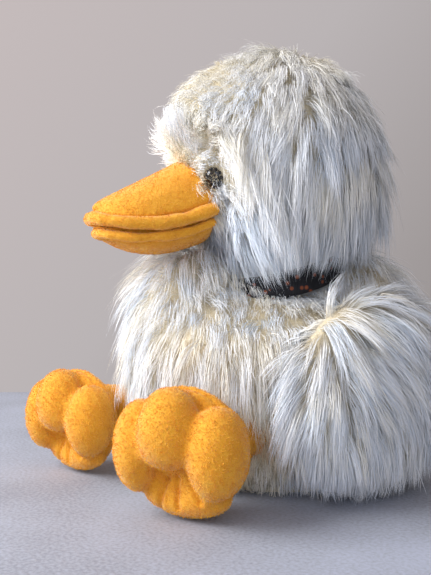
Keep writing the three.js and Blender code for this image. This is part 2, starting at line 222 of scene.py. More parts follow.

# %% [markdown]
# ## Fur as a material
# Faux fur is acrylic fibre knitted into a backing. Each strand is painted tan at its root and paler at
# its tip, which is painted shade deep in the coat, so partings look tan and the coat looks white. A strand
# carries two numbers in its UV map: how warm the lock is, partly its own tone and partly painted light,
# and how far along the strand a point lies. The colour uses only those, so the short pile of the minky
# pieces can be made in the same way.

# %% Long-pile acrylic fur
def strand_material(name, roughness, settings, tones, root_shade_to_tip):
    """A lock's tone, times painted shade that darkens a strand from its tip towards its root."""
    material, tree, surface = new_material(name, roughness, settings)
    strand = add_node(tree, "ShaderNodeUVMap", {"uv_map": "OFBake"})
    parts = add_node(tree, "ShaderNodeSeparateXYZ", links={"Vector": strand.outputs["UV"]})
    tone = ramp_of(tree, parts.outputs["X"], tones)
    along = ramp_of(tree, parts.outputs["Y"], root_shade_to_tip)
    colour = add_node(tree, "ShaderNodeMix", {"data_type": "RGBA", "blend_type": "MULTIPLY"})
    colour.inputs["Factor"].default_value = 1.0
    tree.links.new(tone, colour.inputs[6])
    tree.links.new(along, colour.inputs[7])
    tree.links.new(colour.outputs[2], surface.inputs["Base Color"])
    return material


def acrylic_fibre():
    # Low tones are cool blue-white and high tones warm tan. The combs use them for random tone and also for
    # painted light and shade.
    tones = [(0.0, "#dbe6f2"), (0.3, "#f6f7f7"), (0.55, "#fbf5e2"), (0.8, "#f3dfb8"), (1.0, "#cf9a72")]
    # Painted shade: each strand is tan and darker at its root, deep in the coat.
    root_shade_to_tip = [(0.0, "#d0c4ac"), (0.16, "#ece5d6"), (0.36, "#faf9f6"), (1.0, "#ffffff")]
    return strand_material("acrylic_fur_fibre", 0.5, {"Specular IOR Level": 0.3}, tones, root_shade_to_tip)


FUR = acrylic_fibre()

# %% Knitted backing
def knitted_backing():
    material, tree, surface = new_material("knitted_fur_backing", 0.95)
    place = add_node(tree, "ShaderNodeTexCoord").outputs["Object"]
    loops = add_node(tree, "ShaderNodeTexVoronoi", {"Scale": 1 / (1.2 * mm)}, {"Vector": place})
    colour = ramp_of(tree, loops.outputs["Distance"], [(0.0, "#e6dcc4"), (0.7, "#cfc09d")])
    tree.links.new(colour, surface.inputs["Base Color"])
    bump = add_node(
        tree, "ShaderNodeBump", {"Strength": 0.5, "Distance": 0.4 * mm},
        {"Height": loops.outputs["Distance"]})
    tree.links.new(bump.outputs["Normal"], surface.inputs["Normal"])
    return material


BACKING = knitted_backing()

# %% [markdown]
# ## Helpers for shapes
# A fur piece needs a skin for its strands to grow from. Each skin is a closed shape, made from a grid
# of points round and down a body. The strands are meshes, not particles, so they go with the piece.

# %% Mesh helpers
def unit(vectors):
    return vectors / np.maximum(np.linalg.norm(vectors, axis=-1, keepdims=True), 1e-9)


def piece_from(name, vertices, faces, material, body):
    mesh = bpy.data.meshes.new(name)
    mesh.from_pydata([tuple(map(float, vertex)) for vertex in vertices], [], faces)
    mesh.polygons.foreach_set("use_smooth", [True] * len(faces))
    mesh.materials.append(material)
    piece = bpy.data.objects.new(name, mesh)
    scene.collection.objects.link(piece)
    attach(piece, body)
    return piece


def ring_faces(rows, count):
    """Faces of a closed skin: a bottom point, rows of rings, and a top point."""
    top = 1 + (rows - 1) * count
    faces = [(0, 1 + (i + 1) % count, 1 + i) for i in range(count)]
    for start in range(1, top, count):
        for i in range(count):
            j = (i + 1) % count
            faces.append((start + i, start + j, start + count + j, start + count + i))
    return faces + [(top + i, top + (i + 1) % count, top + count) for i in range(count)]


def skin_of_rings(name, rings, material, body):
    """A closed skin through rings of points, from the bottom to the top, with a point at each end."""
    vertices = [rings[0].mean(0), *np.concatenate(rings), rings[-1].mean(0)]
    return piece_from(name, vertices, ring_faces(len(rings), len(rings[0])), material, body)


def ellipsoid_rings(centre, radii, around=64, down=40, dent=None):
    rings = []
    for row in range(1, down):
        fall = math.pi * (1 - row / down)
        turns = np.linspace(0, 2 * math.pi, around, endpoint=False)
        level = np.full(around, math.cos(fall))
        ways = np.stack([np.sin(fall) * np.cos(turns), np.sin(fall) * np.sin(turns), level], 1)
        size = np.array(radii) * (1 if dent is None else dent(ways)[:, None])
        rings.append(np.array(centre) + ways * size)
    return rings


def points_of(piece):
    points = np.empty(len(piece.data.vertices) * 3, np.float32)
    piece.data.vertices.foreach_get("co", points)
    return points.reshape(-1, 3).astype(float)


def normals_of(piece):
    normals = np.empty(len(piece.data.vertices) * 3, np.float32)
    piece.data.vertex_normals.foreach_get("vector", normals)
    return normals.reshape(-1, 3).astype(float)


def set_points(piece, points):
    piece.data.vertices.foreach_set("co", points.astype(np.float32).ravel())
    piece.data.update()


def tree_of(piece):
    return BVHTree.FromPolygons(
        [vertex.co.copy() for vertex in piece.data.vertices],
        [tuple(polygon.vertices) for polygon in piece.data.polygons])


def roots_on(piece, count, chance, *values):
    """Random places on a piece, even by area, with the smooth normal and any other values there."""
    mesh = piece.data
    mesh.calc_loop_triangles()
    corners = np.empty(len(mesh.loop_triangles) * 3, np.int32)
    mesh.loop_triangles.foreach_get("vertices", corners)
    corners = corners.reshape(-1, 3)
    points = np.empty(len(mesh.vertices) * 3, np.float32)
    mesh.vertices.foreach_get("co", points)
    normals = np.empty(len(mesh.vertices) * 3, np.float32)
    mesh.vertex_normals.foreach_get("vector", normals)
    points, normals = points.reshape(-1, 3), normals.reshape(-1, 3)
    a, b, c = (points[corners[:, i]] for i in range(3))
    area = np.linalg.norm(np.cross(b - a, c - a), axis=1)
    chosen = chance.choice(len(area), size=count, p=area / area.sum())
    u, v = chance.random((2, count))
    over = u + v > 1
    u[over], v[over] = 1 - u[over], 1 - v[over]
    shares = np.stack([1 - u - v, u, v], 1)[:, :, None]
    place = (points[corners[chosen]] * shares).sum(1)
    normal = unit((normals[corners[chosen]] * shares).sum(1))
    return place, normal, *[(value[corners[chosen]] * shares[:, :, 0]).sum(1) for value in values]


def hollows_of(piece, reach=6):
    """How hollow a piece is at each point: 1 in a deep fold, 0 on the flat and -1 on a sharp ridge."""
    mesh = piece.data
    edges = np.empty(len(mesh.edges) * 2, np.int32)
    mesh.edges.foreach_get("vertices", edges)
    a, b = edges.reshape(-1, 2).T
    points, normals = points_of(piece), normals_of(piece)
    links = np.bincount(np.r_[a, b], minlength=len(points))

    def mean_of_neighbours(value):
        return (np.bincount(a, value[b], len(points)) + np.bincount(b, value[a], len(points))) / links

    smooth = points
    for _ in range(reach):
        smooth = np.stack([mean_of_neighbours(column) for column in smooth.T], 1)
    hollow = ((smooth - points) * normals).sum(1) / (0.5 * mm)
    for _ in range(2):
        hollow = mean_of_neighbours(hollow)
    return np.clip(hollow, -1, 1)


def rise(value, low, high):
    """0 below low, 1 above high, and smooth between them."""
    share = np.clip((value - low) / (high - low), 0, 1)
    return share * share * (3 - 2 * share)


def drift(place, wave, seed):
    """A smooth random number from -1 to 1 at each place. Its bumps are about half a wave apart."""
    chance = np.random.default_rng(seed)
    total = np.zeros(len(place))
    for _ in range(5):
        way = unit(chance.normal(size=3)) * 2 * math.pi / wave * chance.uniform(0.6, 1.5)
        total += np.sin(place @ way + chance.uniform(0, 2 * math.pi))
    return total / 3.2


# %% [markdown]
# ## Growing a coat
# First some guide strands grow. Each leaves the skin along its normal, bends into the lie of the coat,
# droops, and is kept clear of the skin and of the pieces beside it. The other strands then copy the
# nearest guide and close on it a little towards their tips, which gives locks. One strand is drawn for
# a tuft of real fibres, so it is 0.25 to 0.45 mm wide where a fibre is 0.05 mm.

# %% Strands
STEPS = 5
DENSITY = 1.0
FELT_WITHIN = 16 * mm
HAIR_ROOM = cad_high.x + 0.03 * (cad_high.x - cad_low.x) + 9 * mm


def keep_clear(place, clearance, trees, floor=1.2 * mm):
    """Lift places off the nearest surface of each tree. One further away isn't felt."""
    for i in range(len(place)):
        for tree, share in trees:
            near, normal, _, _ = tree.find_nearest(Vector(place[i]), FELT_WITHIN)
            if near is None:
                continue
            height = (Vector(place[i]) - near).dot(normal)
            need = clearance[i] * share
            if height < need:
                place[i] = near + normal * need
    place[:, 2] = np.maximum(place[:, 2], floor)
    return place


def grow_guides(root, normal, lie, length, lift, droop, trees, chance):
    place = root.copy()
    path = [place.copy()]
    stand = chance.uniform(1.5, 9, len(root)) * mm
    wander = chance.normal(size=root.shape) * 0.16
    for step in range(STEPS):
        share = (step + 0.5) / STEPS
        way = normal * (lift * (1 - share) ** 1.2)[:, None] + lie * (0.35 + share)
        way = way + np.array([0, 0, -1.0]) * (droop * share)[:, None] + wander
        place = place + unit(way) * (length / STEPS)[:, None]
        place = keep_clear(place, stand * min(1, (step + 1) / 2), trees)
        path.append(place.copy())
    return np.stack(path, 1)


def inside_any(place, trees):
    """True for the places that lie inside one of the closed shapes."""
    buried = np.zeros(len(place), bool)
    for i, point in enumerate(place):
        for tree in trees:
            near, normal, _, _ = tree.find_nearest(Vector(point))
            if (Vector(point) - near).dot(normal) < 0:
                buried[i] = True
                break
    return buried


def copy_guides(root, guide_path, reach, lock, chance):
    """Strand paths from the nearest guide's, and which strands found one."""
    tree = KDTree(len(guide_path))
    for i, path in enumerate(guide_path):
        tree.insert(path[0], i)
    tree.balance()
    found = [tree.find(point) for point in root]
    nearest = np.array([hit[1] for hit in found])
    near_enough = np.array([hit[2] for hit in found]) < reach
    guide = guide_path[nearest]
    share = np.linspace(0, 1, STEPS + 1)[None, :, None]
    length = chance.uniform(0.72, 1.12, len(root))[:, None, None]
    path = root[:, None, :] + (guide - guide[:, :1]) * length
    pull = lock * share**1.4 * chance.uniform(0.5, 1.0, len(root))[:, None, None]
    path = path + (guide[:, :1] - root[:, None, :]) * pull
    loose = np.where(chance.random(len(root)) < 0.12, 3.6, 1.5)[:, None, None]
    stray = chance.normal(size=(len(root), 1, 3)) * loose * mm * share * length
    kink = chance.normal(size=path.shape) * 0.35 * mm * np.minimum(share * 2, 1)
    return path + stray + kink, nearest, near_enough


def strand_mesh(name, path, normal, width, tone, material, body, less_root_shade=0.0):
    """Flat tapered strands as one mesh. Each lies face outwards and is turned a little at random."""
    count, points, _ = path.shape
    chance = np.random.default_rng(count)
    tangent = unit(np.gradient(path, axis=1))
    side = unit(np.cross(tangent, normal[:, None, :]))
    twist = chance.uniform(-0.9, 0.9, (count, 1, 1))
    side = side * np.cos(twist) + np.cross(tangent, side) * np.sin(twist)
    taper = np.interp(np.linspace(0, 1, points), [0, 0.35, 1], [0.7, 1.0, 0.35])[None, :, None]
    half = width[:, None, None] / 2 * taper
    left, right = path - side * half, path + side * half
    vertices = np.concatenate([np.stack([left, right], 2)[:, :-1].reshape(count, -1, 3), path[:, -1:]], 1)
    per = 2 * (points - 1) + 1
    quads = [(2 * i, 2 * i + 1, 2 * i + 3, 2 * i + 2) for i in range(points - 2)]
    tip = (2 * (points - 2), 2 * (points - 2) + 1, per - 1)
    pattern = np.array([corner for face in [*quads, tip] for corner in face])
    sizes = np.array([4] * len(quads) + [3])
    loops = (np.arange(count)[:, None] * per + pattern).ravel()
    mesh = bpy.data.meshes.new(name)
    mesh.vertices.add(count * per)
    mesh.vertices.foreach_set("co", vertices.astype(np.float32).ravel())
    mesh.loops.add(len(loops))
    mesh.loops.foreach_set("vertex_index", loops.astype(np.int32))
    totals = np.tile(sizes, count)
    mesh.polygons.add(len(totals))
    mesh.polygons.foreach_set("loop_start", np.concatenate([[0], np.cumsum(totals)[:-1]]).astype(np.int32))
    mesh.polygons.foreach_set("use_smooth", np.ones(len(totals), bool))
    along = np.append(np.repeat(np.linspace(0, 1, points)[:-1], 2), 1.0)[pattern]
    start = np.broadcast_to(less_root_shade, count)
    map_u = np.repeat(tone, len(pattern))
    map_v = np.tile(along, count) * (1 - np.repeat(start, len(pattern))) + np.repeat(start, len(pattern))
    uv = mesh.uv_layers.new(name="OFBake")
    uv.data.foreach_set("uv", np.stack([map_u, map_v], 1).astype(np.float32).ravel())
    mesh.update(calc_edges=True)
    mesh.materials.append(material)
    piece = bpy.data.objects.new(name, mesh)
    scene.collection.objects.link(piece)
    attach(piece, body)
    return piece


def grow_coat(
        name, skin, count, lock_size, seed, comb, body,
        buried_in=(), clear_of=(), width=0.36, lock=0.26, choose=None):
    """comb(place, normal) gives the lie, length, lift, droop and tone of the coat at each place."""
    chance = np.random.default_rng(seed)
    count = int(count * DENSITY)
    area = sum(polygon.area for polygon in skin.data.polygons)
    guide_root, guide_normal = roots_on(skin, int(area / (lock_size * mm) ** 2), chance)
    lie, length, lift, droop, tone = comb(guide_root, guide_normal)
    kept = (length > 0.5 * mm) & ~inside_any(guide_root, buried_in)
    guide_root, guide_normal, lie = guide_root[kept], guide_normal[kept], lie[kept]
    length, lift, droop, tone = length[kept], lift[kept], droop[kept], tone[kept]
    trees = [(tree_of(skin), 1.0)] + [(tree, 0.4) for tree in clear_of]
    guides = grow_guides(guide_root, guide_normal, lie, length, lift, droop, trees, chance)
    root, normal = roots_on(skin, count, chance)
    if choose is not None:
        wanted = choose(root)
        root, normal = root[wanted], normal[wanted]
    path, nearest, kept = copy_guides(root, guides, 1.6 * lock_size * mm, lock, chance)
    path, normal, nearest = path[kept], normal[kept], nearest[kept]
    path[:, :, 2] = np.maximum(path[:, :, 2], 0.6 * mm)
    within = (np.abs(path[:, :, 0]) < HAIR_ROOM).all(1)
    path, normal, nearest = path[within], normal[within], nearest[within]
    shade = np.clip(tone[nearest] + chance.normal(size=len(path)) * 0.06, 0.01, 0.99)
    # Strands that stand up get less of the painted root shade.
    less_root_shade = np.clip((lift[nearest] - 0.4) * 0.7, 0, 0.34)
    thick = chance.uniform(0.7, 1.25, len(path)) * width * mm
    piece = strand_mesh(name, path, normal, thick, shade, FUR, body, less_root_shade)
    print(name, "has", len(path), "strands in", len(guides), "locks,", len(piece.data.polygons), "faces")
    return piece


# %% [markdown]
# ## Minky plush
# The bill, legs and feet are minky, a polyester knit with a dense short pile. A bumpy orange cloth
# makes the body of it, and a layer of strands about 1 mm long stands on the cloth. The strands are
# painted paler on ridges, as painted light, and deeper orange in folds and at their roots, as painted shade.

# %% Minky materials
def minky_base():
    settings = {"Sheen Weight": 0.35, "Sheen Roughness": 0.5}
    material, tree, surface = new_material("marigold_minky", 0.85, settings)
    place = add_node(tree, "ShaderNodeTexCoord").outputs["Object"]
    nap = add_node(tree, "ShaderNodeTexNoise", {"Scale": 1 / (1.6 * mm), "Detail": 3}, {"Vector": place})
    patch = add_node(tree, "ShaderNodeTexNoise", {"Scale": 1 / (14 * mm), "Detail": 2}, {"Vector": place})
    mixed = add_node(
        tree, "ShaderNodeMix", {"Factor": 0.35}, {"A": nap.outputs["Fac"], "B": patch.outputs["Fac"]})
    colour = ramp_of(tree, mixed.outputs["Result"], [(0.35, "#e0960f"), (0.5, "#e8a21a"), (0.66, "#eeae2c")])
    tree.links.new(colour, surface.inputs["Base Color"])
    bump = add_node(
        tree, "ShaderNodeBump", {"Strength": 0.6, "Distance": 0.7 * mm}, {"Height": nap.outputs["Fac"]})
    tree.links.new(bump.outputs["Normal"], surface.inputs["Normal"])
    return material


def minky_pile():
    settings = {"Specular IOR Level": 0.25, "Sheen Weight": 0.3, "Sheen Roughness": 0.5}
    tones = [(0.0, "#e8a214"), (0.4, "#f0af26"), (1.0, "#f7c656")]
    # Painted shade: each pile strand is a little darker and warmer at its root.
    root_shade_to_tip = [(0.0, "#fbeccb"), (0.5, "#fffaf0"), (1.0, "#ffffff")]
    return strand_material("marigold_minky_pile", 0.7, settings, tones, root_shade_to_tip)


MINKY = minky_base()
MINKY_PILE = minky_pile()

# %% [markdown]
# ## Stuffed minky pieces
# Each one starts as a copy of its own node, remeshed finely. Cloth pressure then swells it, as stuffing
# does, so flat faces crown and creases between lobes close up. How far a point may move is capped,
# because pressure alone would blow a small piece up like a balloon.

# %% Stuffing
def node_shape(node):
    mesh = frame["nodes"][node].data
    return [tuple(vertex.co) for vertex in mesh.vertices], [tuple(face.vertices) for face in mesh.polygons]


def remeshed(name, shape, voxel, material, body):
    piece = piece_from(name, *shape, material, body)
    piece.parent = None
    remesh = piece.modifiers.new("remesh", "REMESH")
    remesh.mode = "VOXEL"
    remesh.voxel_size = voxel * mm
    apply_modifiers(piece)
    return piece


def apply_modifiers(piece):
    finished = bpy.data.meshes.new_from_object(piece.evaluated_get(bpy.context.evaluated_depsgraph_get()))
    piece.modifiers.clear()
    old = piece.data
    piece.data = finished
    finished.name = piece.name
    bpy.data.meshes.remove(old)
    finished.polygons.foreach_set("use_smooth", [True] * len(finished.polygons))


def swell(piece, grow, cap, pressure=4.0, frames=20):
    """Grow a piece outwards by some millimetres, then let cloth pressure round it, up to a cap."""
    before = points_of(piece) + normals_of(piece) * grow * mm
    set_points(piece, before)
    cloth = piece.modifiers.new("cloth", "CLOTH")
    cloth.settings.use_pressure = True
    cloth.settings.uniform_pressure_force = pressure
    cloth.settings.effector_weights.gravity = 0
    cloth.settings.quality = 6
    for number in range(1, frames + 1):
        scene.frame_set(number)
    apply_modifiers(piece)
    scene.frame_set(1)
    moved = points_of(piece) - before
    far = np.linalg.norm(moved, axis=1, keepdims=True)
    moved = moved * np.minimum(1, cap * mm / np.maximum(far, 1e-9))
    set_points(piece, before + moved)
    print(piece.name, "swelled by up to", round(float(np.minimum(far, cap * mm).max()) / mm, 1), "mm")


def refine(piece, levels=1):
    subdivision = piece.modifiers.new("refine", "SUBSURF")
    subdivision.levels = levels
    apply_modifiers(piece)


def add_pile(piece, body, per_mm2, length, seed, width=0.4, tone=0.5):
    """Short plush pile over a stuffed piece."""
    chance = np.random.default_rng(seed)
    area = sum(polygon.area for polygon in piece.data.polygons)
    count = int(area / mm**2 * per_mm2 * (1.0))
    root, normal, hollow = roots_on(piece, count, chance, hollows_of(piece))
    swirl = np.stack([drift(root, 9 * mm, seed + i) for i in range(3)], 1)
    way = unit(normal * 0.75 + swirl * 0.6 + chance.normal(size=root.shape) * 0.25)
    tall = length * mm * chance.uniform(0.6, 1.15, count) * (1 + 0.18 * drift(root, 6 * mm, seed + 9))
    share = np.linspace(0, 1, 3)[None, :, None]
    path = root[:, None, :] + way[:, None, :] * share * tall[:, None, None]
    path[:, :, 2] = np.maximum(path[:, :, 2], 0.4 * mm)
    tone = tone + drift(root, 5 * mm, seed + 5) * 0.2 + chance.normal(size=count) * 0.15
    # Painted shade and light: the pile is deeper orange in folds and paler on ridges.
    shade = np.clip(tone - 0.5 * np.clip(hollow, -0.6, 1), 0.01, 0.99)
    pile = strand_mesh(
        piece.name + "_pile", path, normal, np.full(count, width * mm), shade, MINKY_PILE, body)
    return pile


def plush_piece(name, start, body, voxel=2.6, grow=0.0, cap=5.0, pressure=4.0, shape=None):
    piece = remeshed(name, start, voxel, MINKY, body)
    swell(piece, grow, cap, pressure)
    refine(piece)
    if shape is not None:
        set_points(piece, shape(points_of(piece), normals_of(piece)))
    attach(piece, body)
    return piece


# %% [markdown]
# ## Feet and legs
# A foot is a webbed pad with three plump toes, sewn from a sole and a top. The web between the toes
# is drawn in by stitches, so the toes bulge over it. The lobes are joined, remeshed and swollen like
# the other pieces, and then the web's dimple, its creases and the edge seam are pressed in. The leg
# is a short soft tube.

# %% Foot lobes
# Each lobe is a centre and three radii in millimetres, in the foot's own axes: across, back and up.
FOOT_LOBES = {
    "pad": ((0, 7, 42), (42, 15, 41)),
    "rim": ((2, 3, 17), (33, 13, 16)),
    "middle_toe": ((-3, -10, 59), (22, 20, 26)),
    "inner_toe": ((-28, -4, 45), (17, 20, 30)),
    "outer_toe": ((27, -5, 46), (20, 21, 30)),
}
WEB_CREASES = (((-9, 26), (-14, 7)), ((-2, 27), (0, 10)), ((8, 30), (16, 16)))


class FootFrame:
    """A foot's own axes, from its joint, and its size, from its box."""

    def __init__(self, side):
        joint = next(joint for joint in frame["joints"] if joint["name"] == f"foot_{side}_fold")
        self.yaw = math.atan2(-joint["axis"][1], -joint["axis"][0])
        self.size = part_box(f"foot_{side}_top_panel")[1].z / (86 * mm)
        c, s = math.cos(self.yaw), math.sin(self.yaw)
        self.turn = np.array([[c, -s, 0], [s, c, 0], [0, 0, 1]])
        ankle = np.array([joint["pos_m"][0], joint["pos_m"][1], 0])
        self.origin = ankle - self.turn @ np.array([0, 25 * mm, 0])

    def to_world(self, places):
        return self.origin + (np.asarray(places) * self.size * mm) @ self.turn.T

    def to_local(self, places):
        return (places - self.origin) @ self.turn / (self.size * mm)


def near_line(places, start, end):
    """Distance of points in a plane from a line between two points."""
    start, along = np.array(start), np.array(end) - np.array(start)
    share = np.clip(((places - start) @ along) / (along @ along), 0, 1)
    return np.linalg.norm(places - start - share[:, None] * along, axis=1)


def press_foot(axes):
    """A function that presses the web's dimple, its creases and the edge seam into a foot."""
    def press(points, normals):
        local, facing = axes.to_local(points), normals @ axes.turn
        front = rise(-facing[:, 1], 0.0, 0.5)
        across, back, up = local.T
        web = np.exp(-(((across + 3) / 13) ** 2) - ((up - 23) / 11) ** 2)
        depth = 5.5 * web * front
        for start, end in WEB_CREASES:
            depth = depth + 2.4 * front * np.exp(-((near_line(local[:, [0, 2]], start, end) / 2.0) ** 2))
        seam = 1.0 * np.exp(-(((back - 5) / 1.3) ** 2))
        moved = local - facing * seam[:, None]
        moved[:, 1] += depth
        moved[:, 2] = np.maximum(moved[:, 2], 0.3)
        return axes.to_world(moved)

    return press


def foot_lobes(axes):
    """Vertices and faces of a foot's lobes, which the remesh then joins into one skin."""
    vertices, faces = [], []
    for centre, radii in FOOT_LOBES.values():
        start = len(vertices)
        rings = ellipsoid_rings(centre, radii, 32, 20)
        top = np.array([0, 0, radii[2]])
        points = np.concatenate([[centre - top], *rings, [centre + top]])
        vertices += list(axes.to_world(points))
        faces += [tuple(start + i for i in face) for face in ring_faces(len(rings), 32)]
    return vertices, faces


# %% Feet and legs
plush = {}
for side in ("left", "right"):
    foot, leg, axes = f"foot_{side}", f"leg_{side}", FootFrame(side)
    plush[foot] = plush_piece(
        f"{foot}_plush", foot_lobes(axes), foot, voxel=1.9, grow=-1.2, cap=2.4, shape=press_foot(axes))
    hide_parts(f"{foot}_sole_panel", f"{foot}_top_panel", f"{foot}_filling")
    plush[leg] = plush_piece(f"{leg}_plush", node_shape(f"{leg}_filling"), leg, voxel=3.0, grow=2.4, cap=2.0)
    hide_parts(f"{leg}_tube", f"{leg}_filling")

# %% [markdown]
# ## Bill
# The bill has a domed upper pad and a shallow lower pad, each edged by a rolled lip. The lips are
# narrow tubes that the remesh can follow only at a fine voxel, and they ripple where they are sewn on.

# %% Bill
def rippled(points, normals):
    return points + normals * (drift(points, 22 * mm, 5) * 0.7 * mm)[:, None]


for name in ("bill_upper", "bill_lower"):
    plush[name] = plush_piece(
        f"{name}_plush", node_shape(name), "head", voxel=2.2, grow=0.2, cap=2.2, pressure=2.0)
for name in ("bill_upper_lip", "bill_lower_lip"):
    plush[name] = plush_piece(
        f"{name}_plush", node_shape(name), "head", voxel=1.6, grow=-0.4, cap=0.9, pressure=2.0, shape=rippled)
for name in ("bill_upper", "bill_lower", "bill_upper_lip", "bill_lower_lip"):
    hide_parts(name)

# %% Pile on the minky pieces
PILE_PER_MM2 = 1.6
BILL_PILE, FOOT_PILE = 0.8, 1.1
for seed, (name, piece) in enumerate(sorted(plush.items())):
    on_bill = name.startswith("bill")
    body = "head" if on_bill else name
    add_pile(piece, body, PILE_PER_MM2, BILL_PILE if on_bill else FOOT_PILE, 40 + seed)
print("pile on", len(plush), "pieces")

# %% [markdown]
# ## Skins under the fur
# The head is nearly a ball, and it is flatter round the bill and the eyes, where the pile is shorn.
# The body is a pear on a flat seat, low at the near shoulder and proud at the chest. The wings and the
# tail are stuffed ovals.

# %% Skins
def eye_fronts():
    """The outer point of each eye."""
    fronts = []
    for side in ("left", "right"):
        points = np.array([vertex.co for vertex in frame["nodes"][f"eye_{side}"].data.vertices])
        fronts.append(points[np.argmax(((points - HEAD_CENTRE) ** 2).sum(1))])
    return fronts


def head_dent(ways):
    """The skin is drawn in round the bill and the eyes."""
    facing = unit(np.array([math.sin(HEAD_TURN), -math.cos(HEAD_TURN), -0.35]))
    near = rise(ways @ facing, 0.62, 0.86)
    for front in EYE_FRONTS:
        near = np.maximum(near, rise(ways @ unit(front - HEAD_CENTRE), 0.90, 0.97))
    return 1 - 0.14 * near


nod = next(joint for joint in frame["joints"] if joint["name"] == "head_nod")
HEAD_TURN = math.atan2(nod["axis"][1], nod["axis"][0])
head_low, head_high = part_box("head_fur_shell")
HEAD_RADII = np.array([80, 83, 78]) * mm
HEAD_DEPTH = 93 * mm
HEAD_CENTRE = np.array(
    [(head_low.x + head_high.x) / 2, (head_low.y + head_high.y) / 2, head_high.z - HEAD_DEPTH])
EYE_FRONTS = eye_fronts()
head_skin = skin_of_rings(
    "head_backing", ellipsoid_rings(HEAD_CENTRE, HEAD_RADII, dent=head_dent), BACKING, "head")

body_low, body_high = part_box("body_fur_shell")
BODY_Y = (body_low.y + body_high.y) / 2
BODY_WIDTH = 0.83
BODY_SIDE = np.array(
    [[62, 5], [84, 10], [96, 26], [105, 50], [116, 88], [114, 120], [105, 142], [90, 157], [62, 167]]) * mm
LOW_SHOULDER = np.array([0.84, -0.54])
PROUD_CHEST = np.array([-0.45, -0.89])


def body_rings():
    rings = []
    for row in np.linspace(0, len(BODY_SIDE) - 1, 44):
        index = min(int(row), len(BODY_SIDE) - 2)
        share = row - index
        radius, height = BODY_SIDE[index] * (1 - share) + BODY_SIDE[index + 1] * share
        turns = np.linspace(0, 2 * math.pi, 72, endpoint=False)
        ways = np.stack([np.cos(turns), np.sin(turns)], 1)
        sink = 34 * mm * rise(height / mm, 95, 165) * rise(ways @ LOW_SHOULDER, 0.0, 0.9)
        sink = sink - 9 * mm * rise(height / mm, 90, 150) * rise(ways @ PROUD_CHEST, 0.3, 0.9)
        rings.append(np.stack(
            [radius * BODY_WIDTH * ways[:, 0], BODY_Y + radius * ways[:, 1], height - sink], 1))
    return rings


body_skin = skin_of_rings("body_backing", body_rings(), BACKING, "torso")
WING_OUT = 101 * mm
WING_RADII = np.array([21, 70, 62]) * mm
wing_skins = {}
for side, sign in (("left", 1), ("right", -1)):
    wing = f"wing_{side}"
    low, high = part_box(f"{wing}_outer")
    centre = np.array([sign * WING_OUT, (low.y + high.y) / 2, (low.z + high.z) / 2])
    wing_skins[side] = skin_of_rings(
        f"{wing}_backing", ellipsoid_rings(centre, WING_RADII, 48, 32), BACKING, wing)
tail_low, tail_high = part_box("tail_fur")
tail_centre = np.array([0, tail_high.y - 30 * mm, (tail_low.z + tail_high.z) / 2 + 2 * mm])
tail_skin = skin_of_rings(
    "tail_backing", ellipsoid_rings(tail_centre, np.array([12, 20, 10]) * mm, 24, 16), BACKING, "tail")
for side, skin in wing_skins.items():
    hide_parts(f"wing_{side}_lining")

# %% [markdown]
# ## The lie of the coat
# Fur is brushed once it is sewn up. On the head it falls away from a whorl on the crown: it stands up
# over the forehead and hangs straight on the cheeks. It is trimmed to a hem, which is lower in front
# and shows a little of the neck band at the near side. On the body it hangs straight. On a wing it
# spreads from two whorls, at the shoulder and at the elbow.

# %% Combing helpers
DOWN = np.array([0, 0, -1.0])


def along_skin(way, normal):
    flat = way - normal * (way * normal).sum(1, keepdims=True)
    return unit(flat)


def gap_to(trees, place):
    """Millimetres from each place to the nearest of some surfaces."""
    return np.array([min(tree.find_nearest(Vector(point))[3] for tree in trees) for point in place]) / mm


def eye_distance(place):
    """Distance from each place to the nearer eye."""
    return np.min([np.linalg.norm(place - front, axis=1) for front in EYE_FRONTS], axis=0)


def turned(lie, normal, angle):
    return lie * np.cos(angle)[:, None] + np.cross(normal, lie) * np.sin(angle)[:, None]


def to_head(place):
    """Places in the head's own axes, measured from its centre: left, back and up."""
    moved = place - HEAD_CENTRE
    c, s = math.cos(-HEAD_TURN), math.sin(-HEAD_TURN)
    return np.stack([moved[:, 0] * c - moved[:, 1] * s, moved[:, 0] * s + moved[:, 1] * c, moved[:, 2]], 1)


# %% Head fur
BILL_PIECES = ("bill_upper", "bill_lower", "bill_upper_lip", "bill_lower_lip")
bill_trees = [tree_of(plush[name]) for name in BILL_PIECES]
BILL_ROOT = points_of(plush["bill_upper"]).mean(0) * 0.45 + HEAD_CENTRE * 0.55
eye_trees = [tree_of(frame["nodes"][f"eye_{side}"]) for side in ("left", "right")]
SHORN_ROUND_EYE = 12.5 * mm
CHIN_HEM, HEM_RISE = 141, 25


